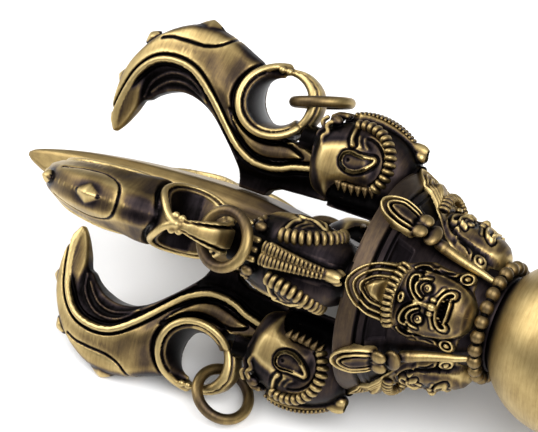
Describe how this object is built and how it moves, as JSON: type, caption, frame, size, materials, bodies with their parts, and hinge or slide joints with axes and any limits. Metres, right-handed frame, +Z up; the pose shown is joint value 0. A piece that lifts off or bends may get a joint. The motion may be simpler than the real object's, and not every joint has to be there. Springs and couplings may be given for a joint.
{
  "type": "vajra",
  "caption": "Double-ended ritual vajra with open hooked prongs round central spikes, makara heads, loose rings, masks, lotus ornaments and a round middle grip.",
  "frame": {"origin": "centre of the middle ball, which is the centre of the whole", "axes": "+X along the spikes, +Z up as it lies on its lower prongs, the outer prongs at 45 degrees to Y and Z"},
  "size_m": [0.1804, 0.0434, 0.042],
  "materials": {
    "bright_brass": "brushed",
    "rubbed_brass": "cast, dark in the hollows and rubbed bright on the high spots",
    "aged_brass": "cast, with a dark brown patina and rubbed edges"
  },
  "bodies": {
    "root": {"ball": "bright_brass", "tie_rod": "bright_brass", "left_hub": "aged_brass", "left_bead_string": "rubbed_brass", "left_central_spike": "bright_brass", "left_prong_pins": "aged_brass", "right_hub": "aged_brass", "right_bead_string": "rubbed_brass", "right_central_spike": "bright_brass", "right_prong_pins": "aged_brass", "left_prong_upper_front": "aged_brass", "left_prong_lower_front": "aged_brass", "left_prong_lower_back": "aged_brass", "left_prong_upper_back": "aged_brass", "left_makara_head_upper_front": "aged_brass", "left_makara_head_lower_front": "aged_brass", "left_makara_head_lower_back": "aged_brass", "left_makara_head_upper_back": "aged_brass", "left_mask_upper_front": "rubbed_brass", "left_mask_lower_front": "rubbed_brass", "left_mask_lower_back": "rubbed_brass", "left_mask_upper_back": "rubbed_brass", "right_prong_upper_front": "aged_brass", "right_prong_lower_front": "aged_brass", "right_prong_lower_back": "aged_brass", "right_prong_upper_back": "aged_brass", "right_makara_head_upper_front": "aged_brass", "right_makara_head_lower_front": "aged_brass", "right_makara_head_lower_back": "aged_brass", "right_makara_head_upper_back": "aged_brass", "right_mask_upper_front": "rubbed_brass", "right_mask_lower_front": "rubbed_brass", "right_mask_lower_back": "rubbed_brass", "right_mask_upper_back": "rubbed_brass", "left_lotus_top": "rubbed_brass", "left_lotus_front": "rubbed_brass", "left_lotus_bottom": "rubbed_brass", "left_lotus_back": "rubbed_brass", "right_lotus_top": "rubbed_brass", "right_lotus_front": "rubbed_brass", "right_lotus_bottom": "rubbed_brass", "right_lotus_back": "rubbed_brass"},
    "left_loose_ring_upper_front": {"left_loose_ring_upper_front": "rubbed_brass"},
    "left_loose_ring_lower_front": {"left_loose_ring_lower_front": "rubbed_brass"},
    "left_loose_ring_lower_back": {"left_loose_ring_lower_back": "rubbed_brass"},
    "left_loose_ring_upper_back": {"left_loose_ring_upper_back": "rubbed_brass"},
    "right_loose_ring_upper_front": {"right_loose_ring_upper_front": "rubbed_brass"},
    "right_loose_ring_lower_front": {"right_loose_ring_lower_front": "rubbed_brass"},
    "right_loose_ring_lower_back": {"right_loose_ring_lower_back": "rubbed_brass"},
    "right_loose_ring_upper_back": {"right_loose_ring_upper_back": "rubbed_brass"}
  },
  "joints": [
    {"name": "left_ring_turn_upper_front", "type": "hinge", "parent": "root", "child": "left_loose_ring_upper_front", "pos_m": [-0.05432, -0.01393, 0.01393], "axis": [0, -0.7071, -0.7071], "range_deg": [0, 65]},
    {"name": "left_ring_turn_lower_front", "type": "hinge", "parent": "root", "child": "left_loose_ring_lower_front", "pos_m": [-0.05432, -0.01393, -0.01393], "axis": [0, 0.7071, -0.7071], "range_deg": [-8, 28]},
    {"name": "left_ring_turn_lower_back", "type": "hinge", "parent": "root", "child": "left_loose_ring_lower_back", "pos_m": [-0.05432, 0.01393, -0.01393], "axis": [0, 0.7071, 0.7071], "range_deg": [-8, 28]},
    {"name": "left_ring_turn_upper_back", "type": "hinge", "parent": "root", "child": "left_loose_ring_upper_back", "pos_m": [-0.05432, 0.01393, 0.01393], "axis": [0, -0.7071, 0.7071], "range_deg": [0, 65]},
    {"name": "right_ring_turn_upper_front", "type": "hinge", "parent": "root", "child": "right_loose_ring_upper_front", "pos_m": [0.05432, -0.01393, 0.01393], "axis": [0, 0.7071, 0.7071], "range_deg": [0, 65]},
    {"name": "right_ring_turn_lower_front", "type": "hinge", "parent": "root", "child": "right_loose_ring_lower_front", "pos_m": [0.05432, -0.01393, -0.01393], "axis": [0, -0.7071, 0.7071], "range_deg": [-8, 28]},
    {"name": "right_ring_turn_lower_back", "type": "hinge", "parent": "root", "child": "right_loose_ring_lower_back", "pos_m": [0.05432, 0.01393, -0.01393], "axis": [0, -0.7071, -0.7071], "range_deg": [-8, 28]},
    {"name": "right_ring_turn_upper_back", "type": "hinge", "parent": "root", "child": "right_loose_ring_upper_back", "pos_m": [0.05432, 0.01393, 0.01393], "axis": [0, 0.7071, -0.7071], "range_deg": [0, 65]}
  ]
}
